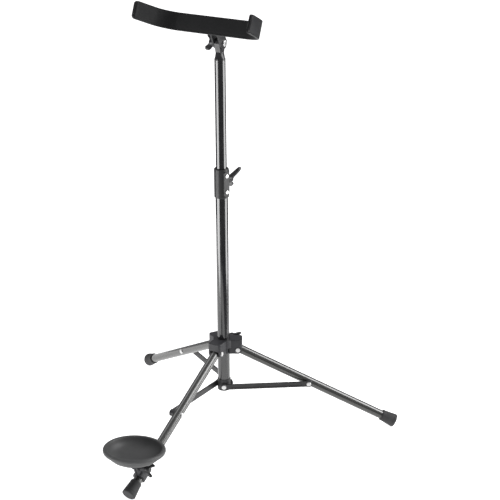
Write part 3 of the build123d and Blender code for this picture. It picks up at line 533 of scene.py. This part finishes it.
# each screw's joint, and the direction its paddles' angle is counted from if not level
gripAxes = {
    "collar_wing": ("collar_lock_turn", None),
    "hub_wing": ("hub_lock_turn", None),
    "tilt_wing_nut": ("tilt_nut_turn", (0, -1, 0)),
    "cup_wing_nut": ("cup_nut_turn", (0, 1, 0)),
}
for name, (jointName, flat) in gripAxes.items():
    point, axis = jointFacts(jointName)
    start = nearEnd(name, point, axis)
    flat = flat or Vector((0, 0, 1)).cross(axis)
    place = gripPlace(point + axis * start, flat, axis, gripSet[name]["turn"])
    grip = makeGrip(name + "Grip", gripSet[name], place)
    finishPiece(grip, "gripPlastic", gripSet[name]["body"], "black_plastic", name)
print("grips made")

footSet = {
    "segments": 72,
    "profile": [(0.0, 0.0084), (0.0004, 0.0098), (0.0026, 0.01035), (0.0034, 0.01005), (0.0040, 0.0100),
                (0.0120, 0.01085), (0.0200, 0.0117), (0.0216, 0.0118), (0.0220, 0.0116), (0.0225, 0.0119),
                (0.0262, 0.0123), (0.0273, 0.0119), (0.0279, 0.0110), (0.0280, 0.0098)],
}


def makeFoot(number):
    # the boot's axis is taken from the leg tube's own mesh
    tube = nodes["leg_%d_tube" % number]
    heights = sorted((v.co for v in tube.data.vertices), key=lambda c: c.z)
    count = max(12, len(heights) // 20)
    low = sum(heights[:count], Vector()) / count
    bearing = math.atan2(low.y, low.x)
    _, slide = jointFacts("cup_slide")
    slope = math.asin(-slide.z)
    flat = math.cos(slope)
    down = Vector((math.cos(bearing) * flat, math.sin(bearing) * flat, -math.sin(slope)))
    pivot, _ = jointFacts("leg_%d_fold" % number)
    start = pivot + down * nearEnd("leg_%d_foot" % number, pivot, down)
    side = Vector((math.sin(bearing), -math.cos(bearing), 0))
    boot = lathe("foot%d" % number, footSet["profile"], axisFrame(start, side, down), footSet["segments"])
    bpy.ops.object.mode_set(mode="EDIT")
    bpy.ops.mesh.select_all(action="SELECT")
    bpy.ops.mesh.bisect(plane_co=(0, 0, 0), plane_no=(0, 0, 1), use_fill=True, clear_inner=True)
    bpy.ops.mesh.select_all(action="SELECT")
    bpy.ops.mesh.normals_make_consistent(inside=False)
    bpy.ops.object.mode_set(mode="OBJECT")
    return boot


for number in (1, 2, 3):
    boot = makeFoot(number)
    finishPiece(boot, "rubber", "leg_%d" % number, "rubber", "leg_%d_foot" % number)
print("feet made")

# turned bowl: heavy rolled rim over a hollow, steep inner wall and a shallow dished floor
cupSet = {
    "lean": 3.8, "baseRing": 0.0002, "segments": 96,
    "profile": [
        (0.0000, 0.0120), (0.0000, 0.0170), (0.0006, 0.0195), (0.0020, 0.0255), (0.0044, 0.0325),
        (0.0076, 0.0385), (0.0112, 0.0426), (0.0150, 0.0453), (0.0182, 0.0464), (0.0197, 0.0466),
        (0.0205, 0.0474), (0.0198, 0.0490), (0.0189, 0.0503), (0.0191, 0.0516), (0.0202, 0.0526),
        (0.0218, 0.0531), (0.0234, 0.0531), (0.0250, 0.0524), (0.0262, 0.0510), (0.0267, 0.0494),
        (0.0265, 0.0478), (0.0257, 0.0467), (0.0243, 0.0460), (0.0222, 0.0452), (0.0190, 0.0437),
        (0.0158, 0.0412), (0.0128, 0.0374), (0.0100, 0.0322), (0.0077, 0.0260), (0.0060, 0.0190),
        (0.0052, 0.0120), (0.0050, 0.0060)],
}


def makeCup(s):
    # the bowl's axis leans with the CAD bowl, found from the lowest ring of its mesh
    points = [v.co for v in nodes["cup_bowl"].data.vertices]
    lean = math.radians(s["lean"])
    axis = Vector((0, math.sin(lean), math.cos(lean)))
    lowest = min(c.dot(axis) for c in points)
    base = [c for c in points if c.dot(axis) < lowest + s["baseRing"]]
    middleY = (min(c.y for c in base) + max(c.y for c in base)) / 2
    middleZ = (min(c.z for c in base) + max(c.z for c in base)) / 2
    place = axisFrame((0, middleY, middleZ), (1, 0, 0), axis)
    return lathe("cupBowl", s["profile"], place, s["segments"])


bowl = makeCup(cupSet)
finishPiece(bowl, "cupRubber", "cup", "rubber", "cup_bowl")
print("cup made")

padSet = {
    "tilt": 23.0, "forward": 0.0302, "rise": 0.0226,
    "halfStraight": 0.0648, "bend": 0.0383, "bendAngle": 80.0, "lip": 0.046,
    "halfWidth": 0.0153, "front": -0.0030, "back": 0.0029, "slotHalf": 0.01415, "slotFront": 0.00045,
    "seamIn": 0.0021, "seamDeep": 0.0005, "step": 0.0028, "cell": 0.0018, "corner": 0.0045,
    "round": 0.0006, "gluedBack": 0.0003, "gluedSide": 0.0005, "gluedSeam": 0.0004,
    "pressure": 4.0, "cap": 0.0011, "stiffness": 20, "bending": 0.5, "quality": 4, "frames": 20,
}


def cradlePath(s):
    # stations along the U from the left tip to the right tip, each with its outward turn
    turn = math.radians(s["bendAngle"])
    half = []
    count = round(s["halfStraight"] / s["step"])
    for i in range(count + 1):
        half.append((s["halfStraight"] * i / count, 0.0, 0.0))
    count = round(s["bend"] * turn / s["step"])
    for i in range(1, count + 1):
        a = turn * i / count
        half.append((s["halfStraight"] + s["bend"] * math.sin(a), -s["bend"] * (1 - math.cos(a)), a))
    endX, endY, _ = half[-1]
    count = round(s["lip"] / s["step"])
    for i in range(1, count + 1):
        run = s["lip"] * i / count
        half.append((endX + run * math.cos(turn), endY - run * math.sin(turn), turn))
    left = [(-x, y, -a) for x, y, a in reversed(half[1:])]
    return left + half


def padSection(s):
    # channel round the band: across the width, through the thickness, a pressed seam by each edge
    w, f, b, h, c = s["halfWidth"], s["front"], s["back"], s["slotHalf"], s["slotFront"]
    seam, deep, r = s["seamIn"], s["seamDeep"], s["round"]
    corners = [
        (-w, b), (-w, f + r), (-w + r, f), (-w + seam - r, f), (-w + seam, f + deep), (-w + seam + r, f),
        (w - seam - r, f), (w - seam, f + deep), (w - seam + r, f), (w - r, f), (w, f + r), (w, b), (h, b),
        (h, c), (-h, c), (-h, b)]
    ring = []
    for i, (u, v) in enumerate(corners):
        u2, v2 = corners[(i + 1) % len(corners)]
        count = max(1, round(math.hypot(u2 - u, v2 - v) / s["cell"]))
        for k in range(count):
            ring.append((u + (u2 - u) * k / count, v + (v2 - v) * k / count))
    return ring


def makePad(s):
    path = cradlePath(s)
    ring = padSection(s)
    hinge, _ = jointFacts("cradle_tilt")
    tilt = math.radians(s["tilt"])
    up = Vector((0, math.sin(tilt), math.cos(tilt)))
    backward = Vector((0, math.cos(tilt), -math.sin(tilt)))
    travelled = [0.0]
    for p, q in zip(path, path[1:]):
        travelled.append(travelled[-1] + math.hypot(q[0] - p[0], q[1] - p[1]))
    verts = []
    for (x, y, a), t in zip(path, travelled):
        narrow = max(0.0, s["corner"] - min(t, travelled[-1] - t))
        trim = s["corner"] - math.sqrt(max(0.0, s["corner"] ** 2 - narrow ** 2))
        squeeze = 1 - trim / s["halfWidth"]
        for u, v in ring:
            sideways = Vector((x + math.sin(a) * v, 0, 0))
            spot = hinge + sideways + backward * (y + math.cos(a) * v - s["forward"])
            verts.append(spot + up * (s["rise"] + u * squeeze))
    n = len(ring)
    faces = []
    for i in range(len(path) - 1):
        for k in range(n):
            m = (k + 1) % n
            faces.append((i * n + k, i * n + m, (i + 1) * n + m, (i + 1) * n + k))
    mesh = bpy.data.meshes.new("cradleCushion")
    mesh.from_pydata(verts, [], faces)
    pad = bpy.data.objects.new("cradleCushion", mesh)
    scene.collection.objects.link(pad)
    clearSelection()
    bpy.context.view_layer.objects.active = pad
    pad.select_set(True)
    bpy.ops.object.mode_set(mode="EDIT")
    bpy.ops.mesh.select_mode(type="EDGE")
    bpy.ops.mesh.select_all(action="DESELECT")
    bpy.ops.mesh.select_non_manifold()
    bpy.ops.mesh.edge_face_add()
    bpy.ops.mesh.select_all(action="SELECT")
    bpy.ops.mesh.normals_make_consistent(inside=False)
    bpy.ops.object.mode_set(mode="OBJECT")
    # everything but the face that carries the instrument is glued to the band
    held = []
    for i in range(len(verts)):
        u, v = ring[i % n]
        nearSeam = abs(abs(u) - (s["halfWidth"] - s["seamIn"])) < s["gluedSeam"]
        if v > s["front"] + s["gluedBack"] or abs(u) > s["halfWidth"] - s["gluedSide"] or nearSeam:
            held.append(i)
    return pad, held


def crownPad(pad, held, s):
    # the cover swells between its seams under a little pressure, and its travel is limited
    group = pad.vertex_groups.new(name="held")
    group.add(held, 1.0, "REPLACE")
    start = [v.co.copy() for v in pad.data.vertices]
    mod = pad.modifiers.new("swell", "CLOTH")
    settings = mod.settings
    settings.use_pressure = True
    settings.uniform_pressure_force = s["pressure"]
    settings.vertex_group_mass = "held"
    settings.quality = s["quality"]
    settings.tension_stiffness = s["stiffness"]
    settings.compression_stiffness = s["stiffness"]
    settings.bending_stiffness = s["bending"]
    settings.effector_weights.gravity = 0
    mod.point_cache.frame_start = 1
    mod.point_cache.frame_end = s["frames"]
    for frameNumber in range(1, s["frames"] + 1):
        scene.frame_set(frameNumber)
    clearSelection()
    bpy.context.view_layer.objects.active = pad
    pad.select_set(True)
    bpy.ops.object.modifier_apply(modifier="swell")
    scene.frame_set(1)
    for vert, home in zip(pad.data.vertices, start):
        move = vert.co - home
        if move.length > 1e-9:
            vert.co = home + move * (s["cap"] * math.tanh(move.length / s["cap"]) / move.length)


pad, held = makePad(padSet)
crownPad(pad, held, padSet)
applyModifier(pad, "SUBSURF", "fine", levels=1, render_levels=1)
bpy.ops.object.shade_smooth_by_angle(angle=math.radians(50))
finishPiece(pad, "foam", "cradle", "foam", "cradle_pad")
print("cradle pad made")

floorSize = 14
clearSelection()
bpy.ops.mesh.primitive_plane_add(size=floorSize, location=(0, 0, 0))
floor = bpy.context.object
floor.name = "floor"
floor.data.materials.append(finishes["floor"])
floor.visible_glossy = False
floor.visible_shadow = False

# bright table top, seen only as a reflection in the tubes and under the cup
glowDiscs = {"tableGlowRear": (0.8, -0.35, 0.2), "tableGlowFront": (0.36, 0.06, -0.45)}
glowDepth = -0.004
for name, (radius, x, y) in glowDiscs.items():
    clearSelection()
    bpy.ops.mesh.primitive_circle_add(
        vertices=64, radius=radius, fill_type="NGON", location=(x, y, glowDepth))
    glow = bpy.context.object
    glow.name = name
    glow.data.materials.append(finishes["glow"])
    glow.visible_camera = False
    glow.visible_diffuse = False
    glow.visible_shadow = False
